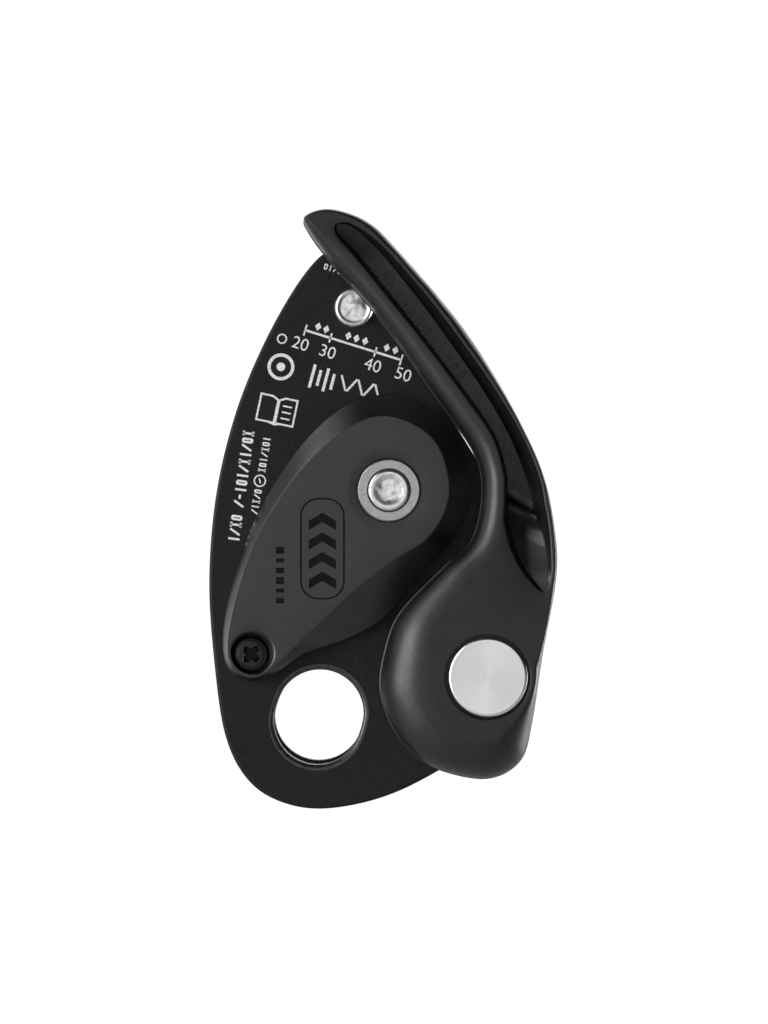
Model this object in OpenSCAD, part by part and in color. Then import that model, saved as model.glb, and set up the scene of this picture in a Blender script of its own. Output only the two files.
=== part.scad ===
// Assisted-braking rope descender for a single 8.5 to 11 mm rope.
// Origin: middle of the attachment hole, halfway between the two side plates.
// +X points to the handle's axle, +Z to the tip, and -Y to the handle side.
// Heights (h) run from the mid-plane towards the handle side, so h = -y.

/* [Side plates] */
// Thickness of each aluminium side plate
plate_t = 3; // [2.5:0.25:3.5]
// Clear width between the two side plates
rope_gap = 13; // [12.5:0.25:14]
// Radius of the attachment hole's round wall
hole_r = 8.35; // [8:0.05:8.5]
// Width of the folded lip along the brake side
lip_w = 2.4; // [2:0.2:3]

/* [Cam] */
// Radius of the cam axle
axle_r = 4; // [3.5:0.25:4.25]
// Radius of the cam's grooved wheel part
sheave_r = 13; // [12:0.25:13]
// Depth of the rope groove in the cam
groove_depth = 2.2; // [1:0.2:2.6]

/* [Handle] */
// Thickness of the handle from its underside to its flat face
handle_t = 10.7; // [10:0.1:11.5]
// Depth of the hollow in the handle's arm
channel_depth = 7; // [4:0.5:8]
// Radius of the turned cap on the handle axle
cap_r = 7.2; // [6.5:0.1:7.4]

/* [Cover] */
// Height of the spring cover above the fixed plate
cover_h = 6.5; // [6:0.25:7]
// Wall thickness of the spring cover
cover_wall = 1.4; // [1.2:0.1:1.8]

/* [Fits] */
// Radial clearance of parts that turn on a shaft
running_fit = 0.05; // [0.02:0.01:0.08]
// Sideways gap between parts that slide past each other
side_gap = 0.3; // [0.2:0.05:0.5]
// Radial gap of parts that are pressed or riveted in place
seat_gap = 0.02; // [0.01:0.01:0.03]

/* [Quality] */
// Steps along each span of a smooth outline
span_steps = 5; // [3:1:8]

/* [Hidden] */
$fn = 72;

inner_h = rope_gap / 2;                 // inner face of the fixed plate
outer_h = inner_h + plate_t;            // outer face of the fixed plate
cam_h = inner_h - side_gap;             // half the cam's width
cover_top_h = outer_h + cover_h;        // flat top of the spring cover
cover_wall_h = cover_top_h - 2.6;       // where the cover's wall starts to slope
arm_t = 1.2;                            // thickness of the steel drive arm
arm_h = outer_h + 0.2;                  // underside of the drive arm
snail_h = arm_h + arm_t + side_gap;     // underside of the drive snail
hub_h = snail_h + 2;                    // underside of the handle's hub
handle_h = outer_h + 1.8;               // underside of the handle's arm
face_h = handle_h + handle_t;           // flat face of the handle

// Places in the side plates' plane, as [x, z]
hole_at = [0, 0];
cam_at = [13, 42];
handle_at = [31, 8];
rivet_at = [6.5, 75.8];
screw_at = [-12.3, 11.9];
dowel_at = [-3.5, 66];
pillar_at = [33, 1];
sheave_at = [9, 35];
peg_at = cam_at + 11 * [cos(250), sin(250)];
roller_at = cam_at + 21 * [cos(263), sin(263)];
cam_swing = 34;                         // travel of the cam, in degrees

hole_stretch = 0.2;                     // the hole is this much longer each way, towards the cam axle
hole_tilt = atan2(cam_at[1], cam_at[0]);
peg_r = 2;
roller_r = 2;
rivet_r = 2.5;
handle_shaft_r = 4.5;
hub_sweep_r = 20.4;                     // everything under the turning hub stays inside this radius
spring_room_r = 7.8;                    // room for the spring inside the hub

// Left and lower edge shared by both side plates, from the tip down to the foot
plate_left = [[2, 86.4], [-3.1, 81.5], [-9.6, 70.4], [-15.2, 57], [-18.9, 42], [-20.3, 26],
    [-19.4, 10.5], [-17.2, -3.8], [-12.6, -12.2], [-5.5, -16.2], [3, -16.8], [14.1, -14]];
// Right edges, from the foot back up to the tip
fixed_right = [[26, -7.6], [35.5, -0.6], [39, 8], [38, 20], [34, 36], [27, 51], [16.5, 67.5], [5.6, 83.6]];
moving_right = [[23.5, -9], [29, -3], [30.6, 5], [31.4, 20], [31, 36], [26.4, 51], [16.5, 67.2], [5.6, 83.4]];

// Foot and top edge of the spring cover, point for point
cover_foot = [[16, 58.8], [7, 58.6], [-2.5, 51], [-11, 38], [-16, 24.5], [-17.6, 14.5], [-16.4, 8.8],
    [-12.5, 6.8], [-8, 8.2], [-2.5, 12], [5.8, 15], [12.5, 19], [17.3, 25.5], [24.3, 32.5], [27.8, 41.5],
    [25.5, 52]];
cover_rim = [[14.2, 55.4], [7, 54.3], [-2.2, 46.8], [-9.9, 36], [-14.2, 25.6], [-16.6, 14.5], [-15.6, 9.4],
    [-12.4, 7.6], [-8.7, 9], [-4.5, 13], [1, 18.2], [6.8, 23.6], [14, 29.3], [20.6, 33.8], [24.1, 41.5],
    [21.6, 50.8]];

// Handle seen from its flat face, from the tip down the inner edge and back up the palm side
handle_edge = [[-2.4, 91.6], [-1.7, 88.9], [2.3, 83.5], [11.4, 72.9], [22.3, 57.8], [28.5, 48.6],
    [29.9, 41.5], [28.1, 33.1], [22.8, 27.9], [14.8, 19.5], [11.2, 6.7], [13.5, -0.8], [20.1, -8.3],
    [30.8, -10.7], [37, -7.4], [39.2, 0], [41.2, 13.1], [43.5, 26.2], [43.2, 35], [40.8, 45.8],
    [34.6, 58.9], [26.3, 72], [15.2, 85.1], [9.2, 90.7], [2.3, 93]];
channel_edge = [[3.2, 89.4], [7.4, 84], [14.5, 75.3], [21, 67.1], [27.5, 58.4], [32.1, 51.6], [34.1, 44],
    [34.1, 35.5], [36, 29.1], [41, 23.7], [42, 27.5], [42, 35], [40.2, 44.5], [36.4, 53], [32, 60.6],
    [26.1, 69], [21, 75.6], [15.2, 83], [9.5, 88]];

// Cam nose, between the axle and the rope, with its tip at the top
nose_edge = [[-1.5, 40], [0, 46], [1.2, 52], [3.2, 58.5], [6, 60.6], [9.5, 59.5], [14, 55], [19, 49],
    [20.5, 42], [20, 36], [9, 34]];

// Uniform cubic through four points
function cubic(a, b, c, d, t) =
    0.5 * (2 * b + (c - a) * t + (2 * a - 5 * b + 4 * c - d) * t * t + (3 * b - a - 3 * c + d) * t * t * t);
function smooth(p) = let (n = len(p)) [for (i = [0:n - 1], k = [0:span_steps - 1])
    cubic(p[(i + n - 1) % n], p[i], p[(i + 1) % n], p[(i + 2) % n], k / span_steps)];
// Loop moved inwards by d; loops run anticlockwise
function inset(p, d) = let (n = len(p)) [for (i = [0:n - 1])
    let (v = p[(i + 1) % n] - p[(i + n - 1) % n]) p[i] + d * [-v[1], v[0]] / norm(v)];
function blend(a, b, t) = [for (i = [0:len(a) - 1]) a[i] * (1 - t) + b[i] * t];

// An outline drawn in the plates' plane, solid from height h0 to h1
module slab(h0, h1) translate([0, -h0, 0]) rotate([90, 0, 0]) linear_extrude(h1 - h0) children();
// A round bar across the plates, from height h0 to h1
module bar(at, r, h0, h1) slab(h0, h1) translate(at) circle(r);
module tube(at, r_out, r_in, h0, h1) slab(h0, h1) translate(at) difference() {
    circle(r_out);
    circle(r_in);
}
// A profile of [radius, height] points turned about an axis across the plates
module turned(at) translate([at[0], 0, at[1]]) rotate([90, 0, 0]) rotate_extrude() children();
// A ring sector about a point, used for slots and for swept pockets
module sector(at, r0, r1, a0, a1) translate(at) polygon(concat(
    [for (k = [0:12]) r1 * [cos(a0 + (a1 - a0) * k / 12), sin(a0 + (a1 - a0) * k / 12)]],
    [for (k = [12:-1:0]) r0 * [cos(a0 + (a1 - a0) * k / 12), sin(a0 + (a1 - a0) * k / 12)]]));

module attachment_hole() {
    translate(hole_at) rotate(hole_tilt) {
        for (side = [-1, 1]) translate([side * hole_stretch, 0]) circle(hole_r);
        square([2 * hole_stretch, 2 * hole_r], center = true);
    }
}

// Slot that lets the peg follow the cam
module peg_slot() {
    half = peg_r + 0.3;
    sector(cam_at, 11 - half, 11 + half, 250, 250 + cam_swing);
    for (a = [250, 250 + cam_swing]) translate(cam_at + 11 * [cos(a), sin(a)]) circle(half);
}

module fixed_side_plate() color("#26282a") {
    edge = smooth(concat(plate_left, fixed_right));
    difference() {
        slab(inner_h, outer_h) difference() {
            polygon(edge);
            attachment_hole();
            peg_slot();
            translate(cam_at) circle(axle_r + seat_gap);
            translate(handle_at) circle(handle_shaft_r + seat_gap);
            translate(rivet_at) circle(rivet_r + seat_gap);
            translate(screw_at) circle(1.5 + seat_gap);
            translate(pillar_at) circle(2.4 + seat_gap);
        }
        bar(dowel_at, 1.5 + seat_gap, inner_h - 1, inner_h + 1.5);
    }
    // folded lip that guides the brake strand
    lip_end = 8 * span_steps;
    slab(0, inner_h) polygon(concat(
        [for (i = [2 * span_steps:lip_end]) edge[i]],
        [for (i = [lip_end:-1:2 * span_steps]) inset(edge, lip_w)[i]]));
}

module moving_side_plate() color("#2b2d2f") slab(-outer_h, -inner_h) difference() {
    polygon(smooth(concat(plate_left, moving_right)));
    attachment_hole();
    translate(cam_at) circle(axle_r + 1.6 + seat_gap);
}

module moving_plate_bush() color("#b08d57")
    tube(cam_at, axle_r + 1.6, axle_r + running_fit, -outer_h, -inner_h);

module moving_plate_washer() color("silver")
    tube(cam_at, axle_r + 3, axle_r + running_fit, -outer_h - 0.8, -outer_h - 0.1);

// Pillar between the plates that the closed moving plate rests against
module plate_stop_pillar() color("silver") turned(pillar_at)
    polygon([[0, -outer_h + 0.5], [2, -outer_h + 0.5], [2.4, -outer_h + 1], [2.4, -inner_h + 1],
        [2.6, -inner_h + 1], [2.6, inner_h], [2.4, inner_h], [2.4, outer_h], [0, outer_h]]);

module friction_plate() color("lightsteelblue") {
    edge = smooth(concat(plate_left, fixed_right));
    first = 2 * span_steps + 2;
    last = 4 * span_steps - 1;
    foot_t = 1.4;
    // wall that the rope is pinched against
    slab(-inner_h + 1, inner_h) polygon(concat(
        [for (i = [first:last]) inset(edge, lip_w + 0.1)[i]],
        [for (i = [last:-1:first]) inset(edge, lip_w + 3.1)[i]]));
    // flat foot that lies on the fixed plate and reaches up to the rivet
    slab(inner_h - foot_t, inner_h) difference() {
        polygon(concat(
            [for (i = [span_steps + 2:last]) inset(edge, lip_w + 0.1)[i]],
            [[-6.5, 45], [-1.5, 60], [4, 69.5], [9, 72], [9.6, 76], [6.5, 80.5], [2, 80]]));
        translate(rivet_at) circle(rivet_r + seat_gap);
        translate(dowel_at) circle(1.5 + seat_gap);
    }
}

module friction_plate_rivet() color("silver") turned(rivet_at)
    polygon([[0, inner_h - 2.2], [3.4, inner_h - 2.2], [3.8, inner_h - 1.4], [rivet_r, inner_h - 1.4],
        [rivet_r, outer_h], [3.6, outer_h], [3.55, outer_h + 0.7], [2.9, outer_h + 1.4], [0, outer_h + 1.4]]);

module friction_plate_dowel() color("silver") bar(dowel_at, 1.5, inner_h - 1.4, inner_h + 1.4);

// Cast cam: a grooved wheel part set off-centre on the axle, and a nose that pinches the rope
module cam() color("#8f9296") {
    groove_r = 5.6;
    difference() {
        union() {
            turned(sheave_at) difference() {
                translate([0, -cam_h]) square([sheave_r, 2 * cam_h]);
                translate([sheave_r - groove_depth + groove_r, 0]) circle(groove_r);
            }
            slab(-cam_h, cam_h) polygon(smooth(nose_edge));
        }
        bar(cam_at, axle_r + 1.5 + seat_gap, -cam_h - 1, cam_h + 1);
        bar(peg_at, peg_r + seat_gap, 1.98, cam_h + 1);
        // lightening pocket on the moving plate's side
        slab(-cam_h - 1, -cam_h + 3) translate(sheave_at + [-1, -2]) circle(5);
    }
}

module cam_bush() color("#b08d57") tube(cam_at, axle_r + 1.5, axle_r + running_fit, -cam_h, cam_h);

// Stepped rivet that carries the cam, the moving plate and the cover
module cam_axle() color("gainsboro") turned(cam_at)
    polygon([[0, -outer_h - 2.2], [5, -outer_h - 2.2], [5.8, -outer_h - 1.6], [5.8, -outer_h - 0.9],
        [axle_r, -outer_h - 0.9], [axle_r, cover_top_h - 0.2], [3.9, cover_top_h + 0.6],
        [3.4, cover_top_h + 1.1], [0, cover_top_h + 1.1]]);

module cam_axle_ring() color("silver") turned(cam_at)
    polygon([[axle_r + 0.05, cover_top_h - 0.8], [5.7, cover_top_h - 0.8], [5.7, cover_top_h + 0.15],
        [5.5, cover_top_h + 0.35], [axle_r + 0.05, cover_top_h + 0.35]]);

module cam_drive_peg() color("dimgray") bar(peg_at, peg_r, 2, arm_h + arm_t);

// Steel arm outside the fixed plate that turns with the cam
module cam_drive_arm() color("#6d7073") slab(arm_h, arm_h + arm_t) difference() {
    union() {
        translate(cam_at) circle(7);
        translate(peg_at) circle(3.6);
        translate(roller_at) circle(3);
        translate(cam_at) rotate(263) translate([0, -2.6]) square([21, 5.2]);
    }
    translate(cam_at) circle(axle_r + running_fit);
    translate(peg_at) circle(peg_r + seat_gap);
    translate(roller_at) circle(1 + seat_gap);
}

module cam_roller() color("silver") turned(roller_at)
    polygon([[0, arm_h], [1, arm_h], [1, arm_h + arm_t], [roller_r, arm_h + arm_t],
        [roller_r, hub_h - side_gap], [0, hub_h - side_gap]]);

// Round wire swept along a path of 3D points
module wire(path, r) {
    sides = 8;
    n = len(path);
    function along(i) = let (v = path[min(i + 1, n - 1)] - path[max(i - 1, 0)]) v / norm(v);
    rings = [for (i = [0:n - 1], k = [0:sides - 1])
        let (t = along(i), u = cross(t, [0, 1, 0]) / norm(cross(t, [0, 1, 0])), w = cross(t, u))
        path[i] + r * (u * cos(k * 360 / sides) + w * sin(k * 360 / sides))];
    polyhedron(rings, concat(
        [[for (k = [0:sides - 1]) k]],
        [[for (k = [sides - 1:-1:0]) (n - 1) * sides + k]],
        [for (i = [0:n - 2], k = [0:sides - 1])
            [i * sides + k, (i + 1) * sides + k, (i + 1) * sides + (k + 1) % sides, i * sides + (k + 1) % sides]]));
}
// Coil about an axis across the plates with a straight leg at each end
function coil(at, r, h0, h1, turns, a0, leg) = let (steps = 20 * turns)
    concat([[at[0] + r * cos(a0) + leg * sin(a0), -h0, at[1] + r * sin(a0) - leg * cos(a0)]],
        [for (i = [0:steps]) let (a = a0 + 360 * turns * i / steps)
            [at[0] + r * cos(a), -h0 - (h1 - h0) * i / steps, at[1] + r * sin(a)]],
        [let (a = a0 + 360 * turns) [at[0] + r * cos(a) - leg * sin(a), -h1, at[1] + r * sin(a) + leg * cos(a)]]);

module cam_return_spring() color("darkgray")
    wire(coil(cam_at, 5.4, arm_h + arm_t + 0.7, cover_top_h - cover_wall - 0.7, 2.25, 120, 5), 0.55);

module spring_cover() color("#3c3d40") difference() {
    steps = 4;
    foot = smooth(cover_foot);
    rim = smooth(cover_rim);
    union() {
        slab(outer_h, cover_wall_h) polygon(foot);
        for (k = [0:steps - 1])
            slab(cover_wall_h, cover_wall_h + (k + 1) * (cover_top_h - cover_wall_h) / steps)
                polygon(blend(foot, rim, (k + 1) / steps));
    }
    // hollow for the spring and the drive arm
    difference() {
        union() {
            slab(outer_h - 1, cover_wall_h - 0.3) polygon(inset(foot, cover_wall));
            slab(outer_h - 1, cover_top_h - cover_wall) polygon(inset(rim, cover_wall));
        }
        bar(screw_at, 5, outer_h - 2, cover_top_h);
    }
    // way out for the arm and its roller, under the handle's hub
    slab(outer_h - 1, snail_h) sector(cam_at, 8, 25, 246, 316);
    slab(outer_h - 1, hub_h - 0.15) sector(cam_at, 18, 24, 255, 305);
    bar(cam_at, axle_r + 0.05, outer_h, cover_top_h + 1);
    bar(cam_at, 5.75, cover_top_h - 0.8, cover_top_h + 1);
    bar(screw_at, 1.6, outer_h - 1, cover_top_h);
    bar(screw_at, 3.8, cover_top_h - 3.4, cover_top_h + 1);
}

module cover_screw() color("#1c1c1e") difference() {
    floor_h = cover_top_h - 3.4;
    turned(screw_at) polygon([[0, inner_h], [1.5, inner_h], [1.5, floor_h], [3.05, floor_h],
        [3.05, floor_h + 1.2], [2.2, floor_h + 1.9], [0, floor_h + 2.1]]);
    slab(floor_h + 1, floor_h + 3) translate(screw_at) for (a = [45, 135])
        rotate(a) square([3.4, 0.8], center = true);
}

// Moulded handle: an arm with a hollow face and a round hub over the axle
module handle() color("#34363a") difference() {
    slab(handle_h, face_h) polygon(smooth(handle_edge));
    slab(face_h - channel_depth, face_h + 1) polygon(smooth(channel_edge));
    bar(handle_at, hub_sweep_r, handle_h - 1, hub_h);
    bar(handle_at, spring_room_r, hub_h - 1, hub_h + 4.5);
    bar(handle_at, handle_shaft_r + 1 + seat_gap, hub_h, face_h + 1);
    bar(handle_at, cap_r + 0.4, face_h - 1.6, face_h + 1);
}

module handle_bush() color("#b08d57")
    tube(handle_at, handle_shaft_r + 1, handle_shaft_r + running_fit, snail_h - 0.1, face_h - 1.7);

// Turned axle whose wide cap keeps the handle on
module handle_axle() color("gainsboro") turned(handle_at)
    polygon([[0, inner_h - 0.2], [handle_shaft_r, inner_h - 0.2], [handle_shaft_r, face_h - 1.5],
        [cap_r, face_h - 1.5], [cap_r, face_h + 0.1], [cap_r - 0.4, face_h + 0.5], [0, face_h + 0.5]]);

module handle_thrust_washer() color("ivory")
    tube(handle_at, 9.5, handle_shaft_r + running_fit, outer_h, snail_h - 0.2);

// Moulded ring on the fixed plate that closes the side of the drive under the hub
module handle_base_ring() color("#2a2b2e") difference() {
    slab(outer_h, hub_h - side_gap) intersection() {
        translate(handle_at) circle(hub_sweep_r - 1.1);
        polygon(inset(smooth(concat(plate_left, fixed_right)), 0.6));
    }
    bar(handle_at, 18, outer_h + 0.8, hub_h + 1);
    bar(handle_at, 9.6, outer_h - 1, hub_h);
    slab(outer_h - 1, hub_h) sector(cam_at, 15, 25, 250, 312);
}

// Steel snail under the hub: its rising edge pushes the roller, which turns the cam back
module handle_drive_snail() color("#85888c") slab(snail_h, hub_h) difference() {
    core_r = 8.9;
    low_r = 12;
    high_r = 15.2;
    translate(handle_at) polygon([for (a = [0:6:354]) let (
        r = a < 70 || a > 300 ? core_r
            : a < 106 ? core_r + (low_r - core_r) * (a - 70) / 36
            : a < 160 ? low_r
            : a < 262 ? low_r + (high_r - low_r) * (a - 160) / 102
            : high_r + (core_r - high_r) * (a - 262) / 38)
        r * [cos(a), sin(a)]]);
    translate(handle_at) circle(spring_room_r + 0.1);
}

module handle_return_spring() color("darkgray")
    wire(coil(handle_at, 6.7, snail_h + 0.9, hub_h + 3.6, 3.25, 300, 2.4), 0.5);

fixed_side_plate();
moving_side_plate();
moving_plate_bush();
moving_plate_washer();
plate_stop_pillar();
friction_plate();
friction_plate_rivet();
friction_plate_dowel();
cam();
cam_bush();
cam_axle();
cam_axle_ring();
cam_drive_peg();
cam_drive_arm();
cam_roller();
cam_return_spring();
spring_cover();
cover_screw();
handle();
handle_bush();
handle_axle();
handle_thrust_washer();
handle_base_ring();
handle_drive_snail();
handle_return_spring();
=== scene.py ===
# Rope descender: turned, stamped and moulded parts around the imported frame
import math

import bmesh
import bpy
from mathutils import Matrix, Vector, noise


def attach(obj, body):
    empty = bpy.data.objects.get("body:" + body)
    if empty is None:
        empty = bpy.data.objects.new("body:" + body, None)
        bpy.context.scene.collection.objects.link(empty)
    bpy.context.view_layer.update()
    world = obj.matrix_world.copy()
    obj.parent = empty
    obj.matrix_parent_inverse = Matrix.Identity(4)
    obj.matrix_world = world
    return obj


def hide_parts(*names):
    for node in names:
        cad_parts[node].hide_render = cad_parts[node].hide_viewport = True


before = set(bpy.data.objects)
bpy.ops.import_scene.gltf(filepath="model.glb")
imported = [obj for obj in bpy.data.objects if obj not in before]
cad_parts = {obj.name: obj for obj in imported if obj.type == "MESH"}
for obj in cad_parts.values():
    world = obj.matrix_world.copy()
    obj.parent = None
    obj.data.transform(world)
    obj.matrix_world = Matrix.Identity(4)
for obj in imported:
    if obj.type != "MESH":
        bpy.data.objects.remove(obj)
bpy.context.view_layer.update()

mm = 0.001          # everything below is measured in millimetres
loopSteps = 8       # points along each span of a smooth outline
seamGap = 0.0005    # corners closer than this are one

# Places in the side plates' plane (x, z); heights run from the mid-plane towards the handle
places = {
    "hole": (0, 0),
    "cam": (13, 42),
    "handle": (31, 8),
    "rivet": (6.5, 75.8),
    "screw": (-12.3, 11.9),
}


# small tools for outlines and rings

def curvePoint(span, t):
    # point between the middle two of four rows; every column is smoothed the same way
    return [0.5 * (2 * b + (c - a) * t + (2 * a - 5 * b + 4 * c - d) * t ** 2
                   + (3 * b - a - 3 * c + d) * t ** 3) for a, b, c, d in zip(*span)]


def smoothLoop(rows, steps=loopSteps):
    # closed curve through the rows
    count = len(rows)
    loop = []
    for i in range(count):
        span = [rows[(i + k) % count] for k in (-1, 0, 1, 2)]
        loop += [curvePoint(span, step / steps) for step in range(steps)]
    return loop


def moveIn(loop, distance):
    # moves an anticlockwise loop inwards, by one distance or by one for each point
    count = len(loop)
    moved = []
    for i in range(count):
        before, after = loop[i - 1], loop[(i + 1) % count]
        along = Vector((after[0] - before[0], after[1] - before[1])).normalized()
        d = distance[i] if isinstance(distance, list) else distance
        moved.append([loop[i][0] - along.y * d, loop[i][1] + along.x * d])
    return moved


def smoothLine(rows, steps):
    # open curve through the rows, with its two ends kept
    last = len(rows) - 1
    line = []
    for i in range(last):
        span = [rows[max(0, min(last, i + k))] for k in (-1, 0, 1, 2)]
        line += [curvePoint(span, step / steps) for step in range(steps)]
    return line + [list(rows[-1])]


def circleLoop(at, radius, count=72):
    turns = [2 * math.pi * k / count for k in range(count)]
    return [[at[0] + radius * math.cos(turn), at[1] + radius * math.sin(turn)] for turn in turns]


def placeLoop(points, at, turn):
    # turns the points about their origin and moves that to its place
    return [[at[0] + u * math.cos(turn) - v * math.sin(turn),
             at[1] + u * math.sin(turn) + v * math.cos(turn)] for u, v in points]


def blendLoops(a, b, t):
    return [[p[0] * (1 - t) + q[0] * t, p[1] * (1 - t) + q[1] * t] for p, q in zip(a, b)]


def setRing(ring, loop, height):
    for i, vert in enumerate(ring):
        h = height[i] if isinstance(height, list) else height
        vert.co = (loop[i][0] * mm, -h * mm, loop[i][1] * mm)


def startRing(bm, loop, height):
    ring = [bm.verts.new() for point in loop]
    setRing(ring, loop, height)
    for i in range(len(ring)):
        bm.edges.new((ring[i - 1], ring[i]))
    return ring


def ringEdges(bm, ring):
    return [bm.edges.get((ring[i - 1], ring[i])) for i in range(len(ring))]


def growRing(bm, ring, loop, height):
    # extrudes the ring's edges and puts each new corner in its place
    made = bmesh.ops.extrude_edge_only(bm, edges=ringEdges(bm, ring))["geom"]
    fresh = {v for v in made if isinstance(v, bmesh.types.BMVert)}
    grown = [next(e.other_vert(v) for e in v.link_edges if e.other_vert(v) in fresh) for v in ring]
    setRing(grown, loop, height)
    return grown


def growRings(bm, ring, steps):
    for loop, height in steps:
        ring = growRing(bm, ring, loop, height)
    return ring


def fillRings(bm, *rings):
    # flat face between an outer ring and the rings of its holes
    edges = [edge for ring in rings for edge in ringEdges(bm, ring)]
    bmesh.ops.triangle_fill(bm, use_beauty=True, use_dissolve=False, edges=edges)


def spinProfile(bm, at, profile, steps=96):
    # profile of (radius, height) turned about an axis across the plates
    corners = [bm.verts.new(((at[0] + r) * mm, -h * mm, at[1] * mm)) for r, h in profile]
    edges = [bm.edges.new(pair) for pair in zip(corners, corners[1:])]
    bmesh.ops.spin(bm, geom=corners + edges, cent=(at[0] * mm, 0, at[1] * mm), axis=(0, 1, 0),
                   angle=2 * math.pi, steps=steps, use_merge=True)


def paintSince(bm, before):
    # faces made since then get the piece's second finish
    for face in bm.faces:
        if face not in before:
            face.material_index = 1


def finishPiece(bm, name, finishes, body, nodes=(), sharpAngle=34):
    # closes the seams, sets smooth and sharp edges and gives the piece its place in the frame
    bmesh.ops.remove_doubles(bm, verts=bm.verts, dist=seamGap * mm)
    bmesh.ops.recalc_face_normals(bm, faces=bm.faces)
    for face in bm.faces:
        face.smooth = True
    for edge in bm.edges:
        edge.smooth = edge.calc_face_angle(0) < math.radians(sharpAngle)
    mesh = bpy.data.meshes.new(name)
    bm.to_mesh(mesh)
    bm.free()
    for finish in finishes:
        mesh.materials.append(materials[finish])
    piece = bpy.data.objects.new(name, mesh)
    bpy.context.scene.collection.objects.link(piece)
    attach(piece, body)
    if nodes:
        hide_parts(*nodes)
    print("made", name, len(mesh.polygons), "faces")


# materials

def colour(hexCode):
    # sRGB hex to the linear values that the shader takes
    parts = [int(hexCode[i:i + 2], 16) / 255 for i in (1, 3, 5)]
    return tuple(p / 12.92 if p <= 0.04045 else ((p + 0.055) / 1.055) ** 2.4 for p in parts) + (1,)


def addNode(tree, kind, settings=None, links=None):
    node = tree.nodes.new(kind)
    for name, value in (settings or {}).items():
        if name in node.inputs:
            node.inputs[name].default_value = value
        else:
            setattr(node, name, value)
    for name, source in (links or {}).items():
        tree.links.new(source, node.inputs[name])
    return node


def startMaterial(name, base, roughness, metallic=0.0, ior=None, **more):
    material = bpy.data.materials.new(name)
    material.use_nodes = True
    tree = material.node_tree
    shader = next(n for n in tree.nodes if n.type == "BSDF_PRINCIPLED")
    shader.inputs["Base Color"].default_value = colour(base)
    shader.inputs["Roughness"].default_value = roughness
    shader.inputs["Metallic"].default_value = metallic
    if ior:
        shader.inputs["IOR"].default_value = ior
    for socket, value in more.items():
        shader.inputs[socket.replace("_", " ")].default_value = value
    place = addNode(tree, "ShaderNodeTexCoord").outputs["Object"]
    return material, tree, shader, place


def grain(tree, place, size, detail=2.0, rough=0.5):
    # noise whose lumps are about size millimetres across
    return addNode(tree, "ShaderNodeTexNoise",
                   {"Scale": 1 / (size * mm), "Detail": detail, "Roughness": rough},
                   {"Vector": place}).outputs["Fac"]


def ramp(tree, source, low, high, fromValue, toValue):
    return addNode(tree, "ShaderNodeMapRange",
                   {"From Min": low, "From Max": high, "To Min": fromValue, "To Max": toValue},
                   {"Value": source}).outputs["Result"]


def tint(tree, shader, factor, first, second):
    mix = addNode(tree, "ShaderNodeMix", {"data_type": "RGBA"}, {"Factor": factor})
    mix.inputs[6].default_value = colour(first)
    mix.inputs[7].default_value = colour(second)
    tree.links.new(mix.outputs[2], shader.inputs["Base Color"])


def emboss(tree, shader, source, depth, strength=1.0):
    # bump whose full depth is given in millimetres
    bump = addNode(tree, "ShaderNodeBump", {"Strength": strength, "Distance": depth * mm},
                   {"Height": source})
    tree.links.new(bump.outputs["Normal"], shader.inputs["Normal"])


def gloss(tree, shader, source, low, high):
    # roughness that follows the noise
    tree.links.new(ramp(tree, source, 0.3, 0.7, low, high), shader.inputs["Roughness"])


def speckle(tree, shader, place, size, low, high):
    # fine pits that take the gloss away in places
    tree.links.new(ramp(tree, grain(tree, place, size, 2, 0.8), 0.35, 0.65, low, high),
                   shader.inputs["Specular IOR Level"])


def anodisedAluminium():
    # black anodised plate, fine blasted: soft satin grey sheen with a tight grain
    material, tree, shader, place = startMaterial("blackAnodisedAluminium", "#0b0b0d", 0.55, ior=1.36)
    grit = grain(tree, place, 0.32, 3, 0.7)
    cloud = grain(tree, place, 9, 2)
    tint(tree, shader, ramp(tree, cloud, 0.35, 0.7, 0, 1), "#0b0b0d", "#111113")
    gloss(tree, shader, grain(tree, place, 2.5, 4), 0.5, 0.6)
    emboss(tree, shader, grit, 0.03)
    speckle(tree, shader, place, 0.2, 0.34, 0.66)
    return material


def rimPaintedHighlight():
    # rim of the hole, painted lighter than the plate as a highlight: patchy grey, and glossier so it
    # shines
    material, tree, shader, place = startMaterial("rimPaintedHighlight", "#1b1c1d", 0.34, ior=1.6)
    # patches of the painted highlight, lighter and glossier in places
    rimPatches = grain(tree, place, 1.2, 4)
    tint(tree, shader, ramp(tree, rimPatches, 0.35, 0.65, 0, 1), "#131415", "#303132")
    gloss(tree, shader, rimPatches, 0.4, 0.28)
    return material


def mouldedNylon(name, base, light, ior, roughLow, roughHigh, grit=0.3, depth=0.014, pits=0.05):
    # glass-filled nylon from a spark-eroded mould: fine even pebble and a dull sheen
    material, tree, shader, place = startMaterial(name, base, roughLow, ior=ior)
    pebble = grain(tree, place, grit, 2, 0.55)
    tint(tree, shader, ramp(tree, grain(tree, place, 7, 3), 0.35, 0.7, 0, 1), base, light)
    gloss(tree, shader, grain(tree, place, 3, 4), roughLow, roughHigh)
    emboss(tree, shader, pebble, depth)
    speckle(tree, shader, place, 0.2, 0.5 - pits, 0.5 + pits)
    return material


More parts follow.
